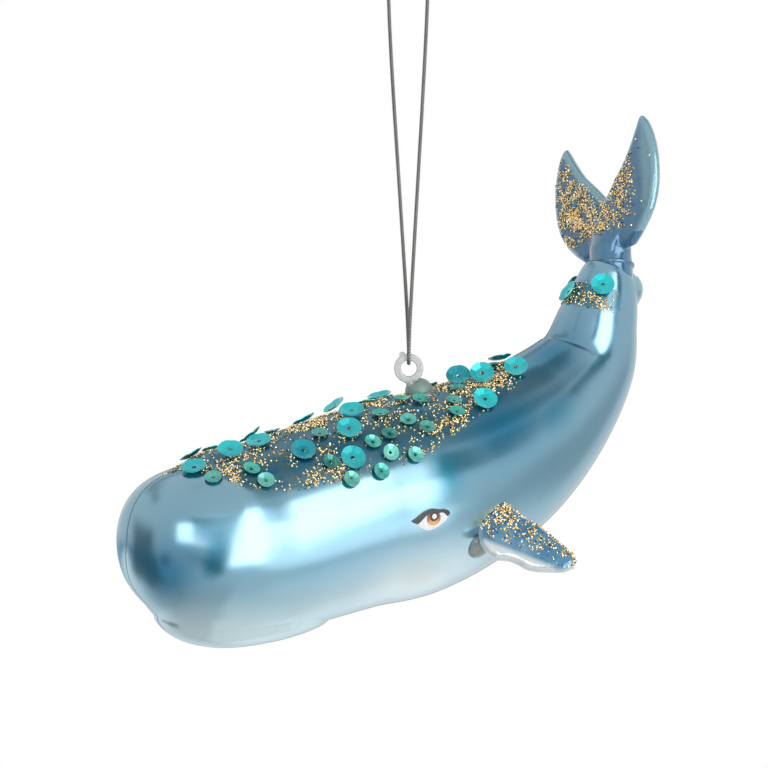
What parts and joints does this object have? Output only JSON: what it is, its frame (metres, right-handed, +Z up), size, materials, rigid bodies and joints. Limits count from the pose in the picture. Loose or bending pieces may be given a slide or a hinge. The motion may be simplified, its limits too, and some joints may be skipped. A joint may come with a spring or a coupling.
{
  "type": "hanging ornament",
  "caption": "Blown-glass whale ornament with sequins and glitter on its back, raised flukes, flippers and painted eyes, hung from a cord loop.",
  "frame": {"origin": "the point under the cord's knot that rests on a hook", "axes": "+Z up along the hanging cord, -X towards the whale's head, -Y towards its left side"},
  "size_m": [0.1474, 0.075, 0.1689],
  "materials": {
    "pearl_glass": "satin pearl lacquer on blown glass",
    "clear_blue_glass": "blue lacquer behind clear pressed glass",
    "glue": "clear set glue",
    "frosted_cap": "frosted",
    "clear_plastic": "clear",
    "metallic_cord": "silver-grey metallic braid",
    "gold_glitter": "metallic grains",
    "white_enamel": "gloss paint",
    "amber_enamel": "gloss paint",
    "black_enamel": "gloss paint",
    "turquoise_sequin": "metallic foil",
    "green_sequin": "metallic foil, faceted"
  },
  "bodies": {
    "knot": {"cord_knot": "metallic_cord"},
    "cord": {"hanging_cord": "metallic_cord"},
    "whale": {"cap_glue": "glue", "fluke_glue": "glue", "glass_body": "pearl_glass", "hanger_cap": "frosted_cap", "hanger_eyelet": "clear_plastic", "large_sequins_back_left": "turquoise_sequin", "large_sequins_back_right": "turquoise_sequin", "large_sequins_head_left": "turquoise_sequin", "large_sequins_head_right": "turquoise_sequin", "large_sequins_rear_left": "turquoise_sequin", "large_sequins_rear_right": "turquoise_sequin", "large_sequins_stock": "turquoise_sequin", "left_eye_glint": "white_enamel", "left_eye_iris": "amber_enamel", "left_eye_lash_and_pupil": "black_enamel", "left_eye_white": "white_enamel", "left_flipper": "clear_blue_glass", "left_flipper_glue": "glue", "right_eye_glint": "white_enamel", "right_eye_iris": "amber_enamel", "right_eye_lash_and_pupil": "black_enamel", "right_eye_white": "white_enamel", "right_flipper": "clear_blue_glass", "right_flipper_glue": "glue", "small_sequins_back_left": "green_sequin", "small_sequins_back_right": "green_sequin", "small_sequins_head_left": "green_sequin", "small_sequins_head_right": "green_sequin", "small_sequins_rear_left": "green_sequin", "small_sequins_rear_right": "green_sequin", "tail_flukes": "clear_blue_glass"}
  },
  "joints": [
    {"name": "cord_twist", "type": "hinge", "parent": "knot", "child": "cord", "pos_m": [0, 0, 0], "axis": [0, 0, 1], "range_deg": [-180, 180]},
    {"name": "cord_swing", "type": "hinge", "parent": "cord", "child": "whale", "pos_m": [0, 0, -0.09423], "axis": [0.848, -0.5299, 0], "range_deg": [-40, 40]}
  ]
}
